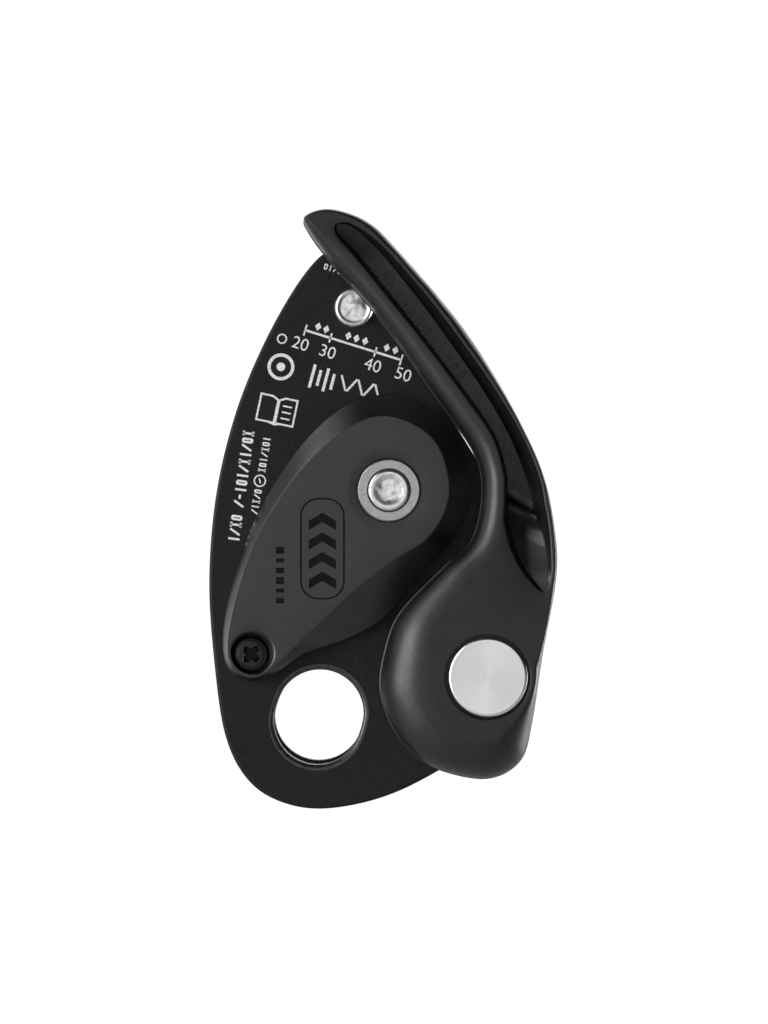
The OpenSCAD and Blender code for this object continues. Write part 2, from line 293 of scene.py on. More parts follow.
def facedSteel():
    # stainless steel faced on a lathe: uneven rings about the axle that spread the light
    material, tree, shader, place = startMaterial("facedStainlessSteel", "#c9c8c5", 0.3, metallic=1.0,
                                                  Anisotropic=0.6)
    x, z = places["handle"]
    centred = addNode(tree, "ShaderNodeMapping",
                      {"Location": (-x * mm, 0, -z * mm), "Scale": (1, 0, 1)}, {"Vector": place})
    away = addNode(tree, "ShaderNodeVectorMath", {"operation": "LENGTH"},
                   {"Vector": centred.outputs["Vector"]}).outputs["Value"]
    spread = addNode(tree, "ShaderNodeCombineXYZ", None, {"X": away}).outputs["Vector"]
    rings = grain(tree, spread, 0.36, 4, 0.7)
    gloss(tree, shader, rings, 0.26, 0.36)
    tint(tree, shader, ramp(tree, rings, 0.3, 0.7, 0, 1), "#dddcda", "#f1f0ee")
    tangent = addNode(tree, "ShaderNodeTangent", {"direction_type": "RADIAL", "axis": "Y"})
    tree.links.new(tangent.outputs["Tangent"], shader.inputs["Tangent"])
    emboss(tree, shader, rings, 0.008, 0.8)
    return material


def workedSteel(name, base, light, roughLow, roughHigh, size, depth):
    # bare steel that was hammered, cast or ground: uneven gloss with small dents
    material, tree, shader, place = startMaterial(name, base, roughLow, metallic=1.0)
    dents = grain(tree, place, size, 3, 0.6)
    tint(tree, shader, ramp(tree, dents, 0.3, 0.7, 0, 1), base, light)
    gloss(tree, shader, grain(tree, place, size * 2.3, 3), roughLow, roughHigh)
    emboss(tree, shader, dents, depth)
    return material


def laserMark():
    # laser marking that bares the aluminium: bright, matt and a little broken
    material, tree, shader, place = startMaterial("laserMarkedAluminium", "#e4e4e4", 0.55, metallic=1.0)
    tint(tree, shader, ramp(tree, grain(tree, place, 0.3, 3), 0.35, 0.6, 0, 1), "#dcdcdd", "#ffffff")
    return material


def bronze():
    # sintered bronze bush: brown-gold with a fine open grain
    material, tree, shader, place = startMaterial("sinteredBronze", "#9a7446", 0.4, metallic=1.0)
    pores = grain(tree, place, 0.2, 3)
    tint(tree, shader, ramp(tree, pores, 0.35, 0.65, 0, 1), "#6f5230", "#a98350")
    emboss(tree, shader, pores, 0.008)
    return material


materials = {
    "plate": anodisedAluminium(),
    # the hole's rim: painted lighter than the plate as a highlight
    "rim": rimPaintedHighlight(),
    "cover": mouldedNylon("mouldedNylonCover", "#060707", "#09090a", 1.64, 0.31, 0.37),
    "handle": mouldedNylon("mouldedNylonHandle", "#0a0a0b", "#0e0e10", 1.54, 0.38, 0.46, pits=0.12),
    # floors of the badge, the dashes and the screw's cross recess: darker and duller than the cover,
    # painted shade in the recesses
    "badge": mouldedNylon("recessFloorPaintedShade", "#030304", "#060607", 1.25, 0.3, 0.4, depth=0.004),
    "washer": mouldedNylon("acetalWasher", "#cfcdc6", "#dad8d2", 1.48, 0.4, 0.5),
    "cap": facedSteel(),
    "rivet": workedSteel("peenedStainlessSteel", "#d6d5d3", "#f2f1ef", 0.26, 0.4, 1.1, 0.02),
    "ring": workedSteel("groundSteelRing", "#a3a3a2", "#bdbdbc", 0.32, 0.42, 0.3, 0.006),
    "cast": workedSteel("castStainlessSteel", "#77797b", "#8f9193", 0.36, 0.52, 0.5, 0.02),
    "arm": workedSteel("zincPlatedSteel", "#6a6d70", "#85888b", 0.34, 0.46, 0.4, 0.008),
    "screw": workedSteel("blackOxideSteel", "#2e2e2f", "#3c3c3d", 0.36, 0.48, 0.3, 0.008),
    "spring": workedSteel("drawnSpringSteel", "#8a8c8e", "#a6a8aa", 0.25, 0.35, 0.3, 0.004),
    "bronze": bronze(),
    "mark": laserMark(),
}
print("materials ready", len(materials))


# side plates, stamped from 3 mm aluminium with tumbled edges

sidePlates = {
    "left": [[2, 86.4], [-3.1, 81.5], [-9.6, 70.4], [-15.2, 57], [-18.9, 42], [-20.3, 26],
             [-19.4, 10.5], [-17.2, -3.8], [-12.6, -12.2], [-5.5, -16.2], [3, -16.8], [14.1, -14]],
    "fixedRight": [[26, -7.6], [35.5, -0.6], [39, 8], [38, 20], [34.8, 37], [27.1, 51.3], [16.5, 67.5],
                   [5.6, 83.6]],
    "movingRight": [[23.5, -9], [29, -3], [30.6, 5], [31.4, 20], [31, 36], [26.4, 51], [16.5, 67.2],
                    [5.6, 83.4]],
    "inner": 6.5, "outer": 9.5,       # heights of the two faces
    "innerEdge": 0.25, "outerEdge": 0.55,        # rounding of their edges
    "holeRadius": 8.08, "holeStretch": 0.75,
    "backHoleExtra": 0.3,             # the moving plate's hole is this much larger all round
    "rimWidth": (0.75, 0.85),         # rounding of the hole's rim, across and along its longer way
    "axleHole": 4.58, "bushHole": 5.62,
    "pegSlot": (8.7, 13.3, 250, 284),            # inner and outer radius, first and last degree
    "lipRows": (2, 8), "lipWidth": 2.4, "lipHeight": 7.2,
}


def attachmentHole(widthShare, depthShare, extra=0.0, count=96):
    # one ring of the hole; the rim is rounded further at the two ends of the oval
    s = sidePlates
    tilt = math.atan2(places["cam"][1], places["cam"][0])
    loop, drop = [], []
    for k in range(count):
        angle = 2 * math.pi * k / count
        alongness = math.cos(angle - tilt)
        width = s["rimWidth"][0] + (s["rimWidth"][1] - s["rimWidth"][0]) * alongness ** 2
        radius = s["holeRadius"] + extra + width * widthShare
        shift = s["holeStretch"] * max(-1, min(1, alongness * 4))
        loop.append([radius * math.cos(angle) + shift * math.cos(tilt),
                     radius * math.sin(angle) + shift * math.sin(tilt)])
        drop.append(width * depthShare)
    return loop, drop


def plateRings(bm, outline):
    # stamped slab; the side that faces out is rounded more
    s = sidePlates
    low, high, lowEdge, highEdge = s["inner"], s["outer"], s["innerEdge"], s["outerEdge"]
    turns = [math.radians(90 * k / 4) for k in range(5)]
    steps = [(moveIn(outline, lowEdge + 0.3), low)]
    steps += [(moveIn(outline, lowEdge * (1 - math.sin(turn))), low + lowEdge * (1 - math.cos(turn)))
              for turn in turns]
    steps += [(moveIn(outline, highEdge * (1 - math.cos(turn))), high - highEdge * (1 - math.sin(turn)))
              for turn in turns]
    steps.append((moveIn(outline, highEdge + 0.3), high))
    lowRing = startRing(bm, *steps[0])
    return lowRing, growRings(bm, lowRing, steps[1:])


def holeRings(bm, extra=0.0):
    # straight wall, then a rim that rolls over into the outer face; the rim takes the lighter finish, a
    # painted highlight
    low, high = sidePlates["inner"], sidePlates["outer"]
    turns = [math.radians(15 * k) for k in range(7)]
    lowRing = startRing(bm, attachmentHole(0.5, 0, extra)[0], low)
    steps = []
    for turn in turns:
        loop, drop = attachmentHole(0.35 * (1 - math.sin(turn)), 0.35 * (1 - math.cos(turn)), extra)
        steps.append((loop, [low + d for d in drop]))
    for turn in turns:
        loop, drop = attachmentHole(1 - math.cos(turn), 1 - math.sin(turn), extra)
        steps.append((loop, [high - d for d in drop]))
    wallSteps = len(turns) + 1
    wall = growRings(bm, lowRing, steps[:wallSteps])
    before = set(bm.faces)
    rim = growRings(bm, wall, steps[wallSteps:])
    # the rim's faces take the lighter finish: a painted highlight
    paintSince(bm, before)
    return lowRing, growRings(bm, rim, [(attachmentHole(1.25, 0, extra)[0], high)])


def cutThrough(bm, loop):
    lowRing = startRing(bm, loop, sidePlates["inner"])
    return lowRing, growRings(bm, lowRing, [(loop, sidePlates["outer"])])


def makeFixedPlate():
    s = sidePlates
    outline = smoothLoop(s["left"] + s["fixedRight"])
    # slot that lets the drive peg follow the cam
    near, far, firstDegree, lastDegree = s["pegSlot"]
    sweep = [math.radians(degree) for degree in range(firstDegree, lastDegree + 1, 2)]
    x, z = places["cam"]
    slotLoop = [[x + radius * math.cos(turn), z + radius * math.sin(turn)]
                for radius, turns in ((far, sweep), (near, sweep[::-1])) for turn in turns]
    bm = bmesh.new()
    outside = plateRings(bm, outline)
    hole = holeRings(bm)
    slot = cutThrough(bm, slotLoop)
    axle = cutThrough(bm, circleLoop(places["handle"], s["axleHole"], 64))
    for side in (0, 1):
        fillRings(bm, outside[side], hole[side], slot[side], axle[side])
    # folded lip along the brake side
    first, last = [row * loopSteps for row in s["lipRows"]]
    inner = moveIn(outline, s["lipWidth"])
    band = outline[first:last + 1] + inner[first:last + 1][::-1]
    lowRing = startRing(bm, moveIn(band, 0.3), 0)
    highRing = growRings(bm, lowRing, [(moveIn(band, 0.1), 0.08), (moveIn(band, 0.02), 0.3),
                                       (moveIn(band, 0.02), s["lipHeight"])])
    fillRings(bm, lowRing)
    fillRings(bm, highRing)
    finishPiece(bm, "stampedFixedPlate", ["plate", "rim"], "frame_body",
                ["fixed_side_plate"])


def makeMovingPlate():
    s = sidePlates
    bm = bmesh.new()
    outside = plateRings(bm, smoothLoop(s["left"] + s["movingRight"]))
    hole = holeRings(bm, s["backHoleExtra"])
    bush = cutThrough(bm, circleLoop(places["cam"], s["bushHole"], 64))
    for side in (0, 1):
        fillRings(bm, outside[side], hole[side], bush[side])
    # built like the fixed plate and mirrored to the back
    bmesh.ops.scale(bm, vec=(1, -1, 1), verts=bm.verts)
    finishPiece(bm, "stampedMovingPlate", ["plate", "rim"], "moving_plate_body",
                ["moving_side_plate"])


makeFixedPlate()
makeMovingPlate()


# spring cover, moulded

springCover = {
    "foot": [[16, 58.8], [7, 58.6], [-2.5, 51], [-11, 38], [-16, 24.5], [-17.6, 14.5], [-16.4, 8.8],
             [-12.5, 6.8], [-8, 8.2], [-2.5, 12], [5.8, 15], [12.5, 19], [17.3, 25.5], [24.3, 32.5],
             [27.8, 41.5], [25.5, 52]],
    "rim": [[14.2, 55.4], [7, 54.3], [-2.2, 46.8], [-9.9, 36], [-14.2, 25.6], [-16.6, 14.5],
            [-15.6, 9.4], [-12.4, 7.6], [-8.7, 9], [-4.5, 13], [1, 18.2], [6.8, 23.6], [14, 29.3],
            [20.6, 33.8], [24.1, 41.5], [21.6, 50.8]],
    "low": 9.5, "wall": 13.0, "top": 16.0,       # heights of the foot, the shoulder and the flat top
    "wallThickness": 1.4, "ceiling": 12.2,
    # flat seat round the axle's head and pocket of the screw: radius, height, shift to the upper right
    "seat": [(5.78, 15.68, 0), (5.86, 15.8, 0), (6.1, 15.86, 0), (6.7, 15.9, 0), (7.2, 15.96, 0),
             (7.5, 16.0, 0), (7.8, 16.0, 0)],
    "pocket": [(3.12, 14.4, 0), (3.2, 14.62, 0), (3.45, 14.95, 0.05), (3.75, 15.5, 0.18),
               (3.95, 15.86, 0.3), (4.1, 15.98, 0.36), (4.2, 16.0, 0.38)],
    "seatFloor": 15.2, "pocketFloor": 12.62,
    "badgeAt": (0.8, 31.3), "sunk": 0.35,
    "dashes": (1.3, 0.7, 1.0, 1.3, 0.7, 1.0),    # lengths, from the top down
    "dashSides": (-7.7, -6.2), "dashStart": 31.0, "dashPitch": 1.85,
}


def roundedPanel(x, z, width, length, radius, steps=8):
    # upright rounded rectangle, anticlockwise
    loop = []
    for cx, cz, first in ((1, 1, 0), (-1, 1, 90), (-1, -1, 180), (1, -1, 270)):
        for k in range(steps + 1):
            angle = math.radians(first + 90 * k / steps)
            loop.append([x + cx * (width / 2 - radius) + radius * math.cos(angle),
                         z + cz * (length / 2 - radius) + radius * math.sin(angle)])
    return loop


def badgeChevrons(x, z):
    shapes = []
    for k in range(4):
        low = z - 7.4 + 3.6 * k
        shapes.append([[x - 2.5, low + 1.7], [x - 2.5, low], [x, low + 1.5], [x + 2.5, low],
                       [x + 2.5, low + 1.7], [x, low + 3.2]])
    return shapes


def sinkLoop(bm, loop):
    # recess in the cover's top; returns the ring at the top
    c = springCover
    ring = startRing(bm, loop, c["top"])
    floor = growRing(bm, ring, moveIn(loop, 0.03), c["top"] - c["sunk"])
    # the floor takes the darker recess finish, painted shade
    before = set(bm.faces)
    fillRings(bm, floor)
    paintSince(bm, before)
    return ring


def sinkCircles(bm, at, floorHeight, rows):
    # round recess from its floor up to the flat top
    x, z = at
    low = startRing(bm, circleLoop(at, rows[0][0]), floorHeight)
    return low, growRings(bm, low, [(circleLoop((x + shift, z + shift), radius), height)
                                    for radius, height, shift in rows])


def makeCover():
    c = springCover
    foot, rim = smoothLoop(c["foot"]), smoothLoop(c["rim"])
    drop = c["top"] - c["wall"]
    bm = bmesh.new()
    # outside: wall, sharp shoulder, slope and rounded top edge
    lowRing = startRing(bm, foot, c["low"])
    steps = [(foot, c["wall"] - 0.9)]
    steps += [(blendLoops(foot, rim, share), c["wall"] + rise * drop)
              for share, rise in ((0, 0), (0.5, 0.49), (0.95, 0.95), (0.99, 0.985))]
    steps += [(moveIn(rim, 0.04), c["top"] - 0.02), (moveIn(rim, 0.2), c["top"])]
    topRing = growRings(bm, lowRing, steps)
    # shallow dish for the axle's ring, and a countersink that leans out to the upper right
    seat, seatTop = sinkCircles(bm, places["cam"], c["seatFloor"], c["seat"])
    pocket, pocketTop = sinkCircles(bm, places["screw"], c["pocketFloor"], c["pocket"])
    # sunk badge: a groove round a panel with plain chevrons, and a row of short dashes beside it
    x, z = c["badgeAt"]
    grooveOut, grooveIn = roundedPanel(x, z, 8.2, 18.6, 3.3), roundedPanel(x, z, 7.6, 18.0, 3.0)
    outRing = startRing(bm, grooveOut, c["top"])
    inRing = startRing(bm, grooveIn, c["top"])
    floorOut = growRing(bm, outRing, moveIn(grooveOut, 0.05), c["top"] - c["sunk"])
    floorIn = growRing(bm, inRing, moveIn(grooveIn, -0.05), c["top"] - c["sunk"])
    chevrons = [sinkLoop(bm, chevron) for chevron in badgeChevrons(x, z)]
    left, right = c["dashSides"]
    dashes = []
    for k, length in enumerate(c["dashes"]):
        middle = c["dashStart"] - c["dashPitch"] * k
        low, high = middle - length / 2, middle + length / 2
        dashes.append(sinkLoop(bm, [[left, low], [right, low], [right, high], [left, high]]))
    fillRings(bm, topRing, seatTop, pocketTop, outRing, *dashes)
    fillRings(bm, inRing, *chevrons)
    # the groove's floor takes the darker recess finish, painted shade
    before = set(bm.faces)
    fillRings(bm, floorOut, floorIn)
    paintSince(bm, before)
    # floors of the seat and the pocket
    fillRings(bm, seat)
    fillRings(bm, pocket)
    # underside, open inside its wall
    inside = growRings(bm, lowRing, [(moveIn(foot, 0.25), c["low"]),
                                     (moveIn(foot, c["wallThickness"]), c["low"]),
                                     (moveIn(foot, c["wallThickness"]), c["ceiling"])])
    fillRings(bm, inside)
    finishPiece(bm, "mouldedSpringCover", ["cover", "badge"], "frame_body",
                ["spring_cover"])


makeCover()


# handle, moulded: a hollow arm that runs into a round hub

handleShape = {
    # x, z, width and height of the rounding between the wall and the face
    "edge": [
        [-2.4, 91.6, 0.9, 2.2], [-1.7, 88.9, 1.5, 2.6], [2.3, 83.5, 2.8, 3.6],
        [11.4, 72.9, 3.3, 3.8], [22.3, 57.8, 3.6, 4.0], [28.5, 48.6, 3.8, 4.2],
        [29.9, 41.5, 3.9, 4.2], [28.1, 33.1, 4.0, 4.4], [22.8, 27.9, 4.6, 5.0],
        [14.8, 19.5, 7.0, 6.4], [12.0, 12, 9.0, 7.2], [11.3, 5.6, 9.6, 7.5],
        [13.2, -0.6, 9.4, 7.5], [16.4, -5.2, 8.8, 7.4], [21.6, -8.9, 8.0, 7.1],
        [30.8, -10.7, 7.4, 6.8], [37, -7.4, 7.2, 6.4], [39.2, 0, 4.6, 5.6], [41.2, 13.1, 0.9, 3.0],
        [43.5, 26.2, 0.9, 3.0], [43.2, 35, 0.9, 3.0], [40.8, 45.8, 1.0, 3.0],
        [34.6, 58.9, 2.0, 4.6], [26.3, 72, 2.0, 4.6], [15.2, 85.1, 1.6, 4.0],
        [9.2, 90.7, 1.2, 2.6], [2.3, 93, 0.9, 2.2]],
    # hollow of the arm from the tip down: left x and z, right x and z, floor at the left and at the
    # right, draft of the left and of the right wall
    "hollow": [
        [3.5, 90.3, 3.5, 90.3, 21.6, 21.6, 0.02, 0.02], [3.6, 88.4, 6.2, 90.3, 20.4, 20.6, 0.3, 0.3],
        [7.4, 84, 11.5, 86.6, 17.8, 18.0, 0.6, 0.7], [14.5, 75.3, 19.3, 77.9, 17.4, 17.4, 0.6, 1.1],
        [21, 67.1, 25.4, 70, 17.4, 17.4, 0.5, 1.3], [27.5, 58.4, 31.6, 61.2, 17.6, 17.6, 0.5, 1.4],
        [32.1, 51.6, 36.8, 52.6, 17.9, 17.8, 0.4, 1.6], [34.0, 45.2, 40.2, 44.6, 18.2, 18.0, 0.4, 1.8],
        [34.2, 41.6, 41.3, 39.2, 18.3, 18.0, 0.4, 1.9], [34.2, 39.6, 41.6, 37.7, 16.2, 17.0, 0.6, 1.6],
        [34.1, 36.2, 42.1, 34.2, 16.5, 18.8, 0.6, 1.0], [35.2, 31.6, 42.4, 30.2, 17.9, 20.2, 0.6, 0.6],
        [37.2, 27.6, 42.4, 26.8, 19.8, 21.2, 0.5, 0.4], [39.6, 24.7, 42.0, 24.8, 21.0, 21.5, 0.3, 0.2],
        [41, 23.6, 41, 23.6, 21.6, 21.6, 0.02, 0.02]],
    # small ribs across the floor: first and last place, how many, length, width, height
    "ribs": ((10.2, 82.4), (25.8, 62.6), 13, 2.5, 0.75, 17.75),
    "hollowSteps": 6,
    "under": 11.3, "hubUnder": 13.2, "face": 22.0,
    "sweep": 20.4,            # the hub's lower face covers this radius
    "capPocket": 7.6, "springRoom": 7.8, "bore": 5.53,        # radii about the axle
    "roomTop": 17.7, "pocketFloor": 20.4,
    "mouthDepth": 0.32,       # rounding of the hollow's mouth
    "grow": 1.008, "middle": (12, 38),     # the rounded edge swells this much past the sharp one
}


def makeHandle():
    h = handleShape
    face, grow, (midX, midZ) = h["face"], h["grow"], h["middle"]
    rows = [[midX + (x - midX) * grow, midZ + (z - midZ) * grow, width, height]
            for x, z, width, height in smoothLoop(h["edge"])]
    outline = [row[:2] for row in rows]
    hubX, hubZ = places["handle"]
    # mouth of the hollow: down its left side and back up its right side, rung by rung
    rungs = smoothLine(h["hollow"], h["hollowSteps"])
    order = list(range(len(rungs))) + list(range(-2, -len(rungs), -1))
    mouth = [rungs[i][:2] if i >= 0 else rungs[i][2:4] for i in order]
    # the rounding stops short of the cap's pocket and of the hollow
    widths, heights = [], []
    for x, z, width, height in rows:
        room = min(math.hypot(x - hubX, z - hubZ) - h["capPocket"] - 0.85,
                   min(math.hypot(x - u, z - v) for u, v in mouth) - 0.7)
        widths.append(max(0.35, min(width, room)))
        heights.append(max(0.6, height))
    # the arm hangs lower than the hub, beyond a straight step just outside the hub's sweep
    towardsArm = Vector((0.12, 1)).normalized()
    onArm = [(x - hubX) * towardsArm.x + (z - hubZ) * towardsArm.y > h["sweep"] + 0.2
             for x, z in outline]
    under = [h["under"] if arm else h["hubUnder"] for arm in onArm]
    bm = bmesh.new()
    lowRing = startRing(bm, moveIn(outline, 0.45), under)
    steps = [(moveIn(outline, 0.12), [u + 0.1 for u in under]), (outline, [u + 0.4 for u in under]),
             (outline, [u + 0.75 for u in under]), (moveIn(outline, 0.2), [u + 0.9 for u in under])]
    for k in range(11):
        turn = math.radians(9 * k)
        share = 1 - math.cos(turn)
        steps.append((moveIn(outline, [0.22 + (w - 0.22) * share for w in widths]),
                      [face - t * (1 - math.sin(turn)) for t in heights]))
    steps.append((moveIn(outline, [w + 0.12 for w in widths]), face))
    topRing = growRings(bm, lowRing, steps)

    # hollow of the arm: a rounded mouth, steep walls and a floor that ends in a lower pocket
    floorHeights = [rungs[i][4] if i >= 0 else rungs[i][5] for i in order]
    wallIn = [rungs[i][6] if i >= 0 else rungs[i][7] for i in order]
    wallTop = face - h["mouthDepth"]
    mouthRing = startRing(bm, moveIn(mouth, -0.34), face)
    steps = [(moveIn(mouth, -0.2), face - 0.04), (moveIn(mouth, -0.06), face - 0.15), (mouth, wallTop)]
    steps += [(moveIn(mouth, [w * share for w in wallIn]),
               [wallTop * (1 - share) + (f + 0.12) * share for f in floorHeights])
              for share in (0.3, 0.65, 0.94)]
    steps.append((moveIn(mouth, [w * 1.2 for w in wallIn]), floorHeights))
    floorRing = growRings(bm, mouthRing, steps)
    around = len(floorRing)
    for k in range(len(rungs) - 1):
        # the rungs at both ends are single points, so their faces come out as triangles
        near, far = floorRing[k:k + 2], [floorRing[-k % around], floorRing[(-k - 1) % around]]
        corners = list(dict.fromkeys(near + far[::-1]))
        if len(corners) > 2:
            bm.faces.new(corners)

    # bore, spring room below it and the pocket of the cap above it
    roomRing = startRing(bm, circleLoop(places["handle"], h["springRoom"]), h["hubUnder"])
    bore, pocket, roomTop, pocketFloor = h["bore"], h["capPocket"], h["roomTop"], h["pocketFloor"]
    profile = [(h["springRoom"], roomTop), (bore, roomTop), (bore, pocketFloor), (pocket, pocketFloor),
               (pocket, face - 0.3), (pocket + 0.08, face - 0.1), (pocket + 0.28, face),
               (pocket + 0.5, face)]
    capRing = growRings(bm, roomRing, [(circleLoop(places["handle"], radius), height)
                                       for radius, height in profile])
    fillRings(bm, topRing, mouthRing, capRing)

    # underside: hub, arm and the step between them
    starts = [i for i in range(len(onArm)) if onArm[i] != onArm[i - 1]]
    armStart, armEnd = [i for i in starts if onArm[i]][0], [i for i in starts if not onArm[i]][0]
    total = len(onArm)
    armVerts = [lowRing[(armStart + k) % total] for k in range((armEnd - armStart) % total)]
    hubVerts = [lowRing[(armEnd + k) % total] for k in range((armStart - armEnd) % total)]
    bm.edges.new((armVerts[0], armVerts[-1]))
    bm.edges.new((hubVerts[0], hubVerts[-1]))
    bmesh.ops.triangle_fill(bm, use_beauty=True, edges=ringEdges(bm, armVerts))
    bmesh.ops.triangle_fill(bm, use_beauty=True, edges=ringEdges(bm, hubVerts) + ringEdges(bm, roomRing))
    bm.faces.new((armVerts[0], armVerts[-1], hubVerts[0], hubVerts[-1]))
    finishPiece(bm, "mouldedHandle", ["handle"], "handle_body", ["handle"])


def makeHandleRibs():
    first, last, count, length, width, high = handleShape["ribs"]
    run = Vector(last) - Vector(first)
    turn = math.atan2(run.y, run.x)
    panel = roundedPanel(0, 0, width, length, 0.2, 2)
    bm = bmesh.new()
    for k in range(count):
        placed = placeLoop(panel, Vector(first) + run * k / (count - 1), turn)
        lowRing = startRing(bm, placed, high - 0.5)
        highRing = growRings(bm, lowRing, [(placed, high - 0.08), (moveIn(placed, 0.06), high)])
        fillRings(bm, lowRing)
        fillRings(bm, highRing)
    finishPiece(bm, "handleFloorRibs", ["handle"], "handle_body")


makeHandle()
makeHandleRibs()


# turned pieces

# all profiles are rows of radius and height, from the far end to the end that faces out
handleAxle = {
    # recessed end, shank and wide cap
    "profile": [(0, 6.62), (3.9, 6.62), (4.15, 6.56), (4.4, 6.66), (4.5, 6.95), (4.5, 20.5), (7.2, 20.5),
                (7.2, 22.12), (7.12, 22.3), (6.9, 22.46), (6.75, 22.5), (6.5, 22.5)],
    "turnedFrom": 6.3, "turnedTo": 0.4, "face": 22.49, "pitch": 0.42, "depth": 0.012,
}


def makeHandleAxle():
    a = handleAxle
    # lathe rings across the cap, from its edge to its centre
    rings = []
    for k in range(int((a["turnedFrom"] - a["turnedTo"]) / a["pitch"])):
        radius = a["turnedFrom"] - k * a["pitch"]
        rings += [(radius, a["face"]), (radius - a["pitch"] * 0.5, a["face"] - a["depth"])]
    bm = bmesh.new()
    spinProfile(bm, places["handle"], a["profile"] + rings + [(0, a["face"])])
    finishPiece(bm, "turnedHandleAxle", ["cap"], "frame_body", ["handle_axle"])


def peenHead(bm, at, radius, low, dent):
    # the hammered face of a rivet: small dents, the same every time
    for vert in bm.verts:
        away = Vector((vert.co.x / mm - at[0], vert.co.z / mm - at[1]))
        if -vert.co.y / mm > low and away.length < radius:
            fade = 1 - (away.length / radius) ** 4
            vert.co.y += dent * mm * fade * noise.noise(Vector((away.x, away.y, at[0])) * 0.9)


camAxle = {
    # second head behind the moving plate, shank, neck and dished head
    "profile": [(0, -11.7), (4.6, -11.7), (5.3, -11.5), (5.8, -11.0), (5.8, -10.4), (4.0, -10.4),
                (4.0, 12.2), (3.76, 12.3), (3.76, 16.5), (3.7, 16.72), (3.54, 16.86), (3.3, 16.92),
                (3.0, 16.92), (2.7, 16.86), (2.35, 16.74), (2.0, 16.66), (1.6, 16.6), (1.2, 16.57),
                (0.8, 16.56), (0.4, 16.55), (0, 16.55)],
    "peenRadius": 2.8, "peenAbove": 16.3, "dent": 0.16,
}
topRivet = {
    # countersunk foot, shank and head with a raised rim
    "profile": [(0, 4.3), (3.4, 4.3), (3.8, 5.1), (2.5, 5.1), (2.5, 9.5), (3.6, 9.5), (3.6, 10.1),
                (3.5, 10.45), (3.3, 10.72), (3.02, 10.86), (2.85, 10.82), (2.72, 10.6), (2.5, 10.5),
                (2.1, 10.52), (1.7, 10.56), (1.3, 10.6), (0.9, 10.64), (0.5, 10.68), (0, 10.7)],
    "peenRadius": 2.65, "peenAbove": 10.2, "dent": 0.2,
}


def makePeened(name, settings, at, node):
    bm = bmesh.new()
    spinProfile(bm, at, settings["profile"])
    peenHead(bm, at, settings["peenRadius"], settings["peenAbove"], settings["dent"])
    finishPiece(bm, name, ["rivet"], "frame_body", [node], 50)


coverScrew = {
    "shank": 1.5, "end": 6.9, "seat": 12.6,
    # pan head: radius and height above its seat, up to the mouth of the recess
    "head": [(1.5, 0), (3.02, 0), (3.02, 2.3), (2.96, 2.42), (2.84, 2.5), (2.66, 2.52), (2.58, 2.44),
             (2.46, 2.5), (2.0, 2.56)],
    # cross recess: size and height above the seat of its mouth, of its lip and of its floor
    "mouth": (1.34, 2.56), "lip": [(1.28, 2.6), (1.2, 2.5)], "floor": (1.0, 1.0),
    "crossTurn": 48,
}


def crossLoop(at, size, count=96):
    # rounded cross with four lobes
    loop = []
    for k in range(count):
        angle = 2 * math.pi * k / count
        lobe = abs(math.cos(2 * (angle - math.radians(coverScrew["crossTurn"])))) ** 1.2
        radius = size * (0.62 + 0.8 * lobe)
        loop.append([at[0] + radius * math.cos(angle), at[1] + radius * math.sin(angle)])
    return loop


def makeScrew():
    c, at = coverScrew, places["screw"]
    bm = bmesh.new()
    shank = startRing(bm, circleLoop(at, c["shank"], 48), c["end"])
    fillRings(bm, shank)
    crown = growRings(bm, shank, [(circleLoop(at, radius, 48), c["seat"] + high)
                                  for radius, high in c["head"]])
    size, high = c["mouth"]
    mouth = startRing(bm, crossLoop(at, size), c["seat"] + high)
    fillRings(bm, crown, mouth)
    lip = growRings(bm, mouth, [(crossLoop(at, size), c["seat"] + high) for size, high in c["lip"]])
    # the lower walls and the floor of the cross recess take the darker finish, painted shade
    before = set(bm.faces)
    size, high = c["floor"]
    fillRings(bm, growRings(bm, lip, [(crossLoop(at, size), c["seat"] + high)]))
    paintSince(bm, before)
    finishPiece(bm, "crossRecessScrew", ["screw", "badge"], "frame_body",
                ["cover_screw"])


makeHandleAxle()
makePeened("peenedCamAxle", camAxle, places["cam"], "cam_axle")
makePeened("peenedTopRivet", topRivet, places["rivet"], "friction_plate_rivet")
makeScrew()


# CAD nodes that keep their shape get their real finish

nodeFinish = {
    "moving_plate_bush": "bronze", "moving_plate_washer": "ring", "plate_stop_pillar": "ring",
    "friction_plate": "cast", "friction_plate_dowel": "ring", "cam": "cast", "cam_bush": "bronze",
    "cam_axle_ring": "ring", "cam_drive_peg": "arm", "cam_drive_arm": "arm", "cam_roller": "ring",
    "cam_return_spring": "spring", "handle_bush": "bronze", "handle_thrust_washer": "washer",
    "handle_base_ring": "handle", "handle_drive_snail": "arm", "handle_return_spring": "spring",
}
for nodeName, finish in nodeFinish.items():
    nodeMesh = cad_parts[nodeName].data
    nodeMesh.materials.clear()
    nodeMesh.materials.append(materials[finish])
print("finishes set on", len(nodeFinish), "nodes")


# laser marks on the fixed plate, plain and generic

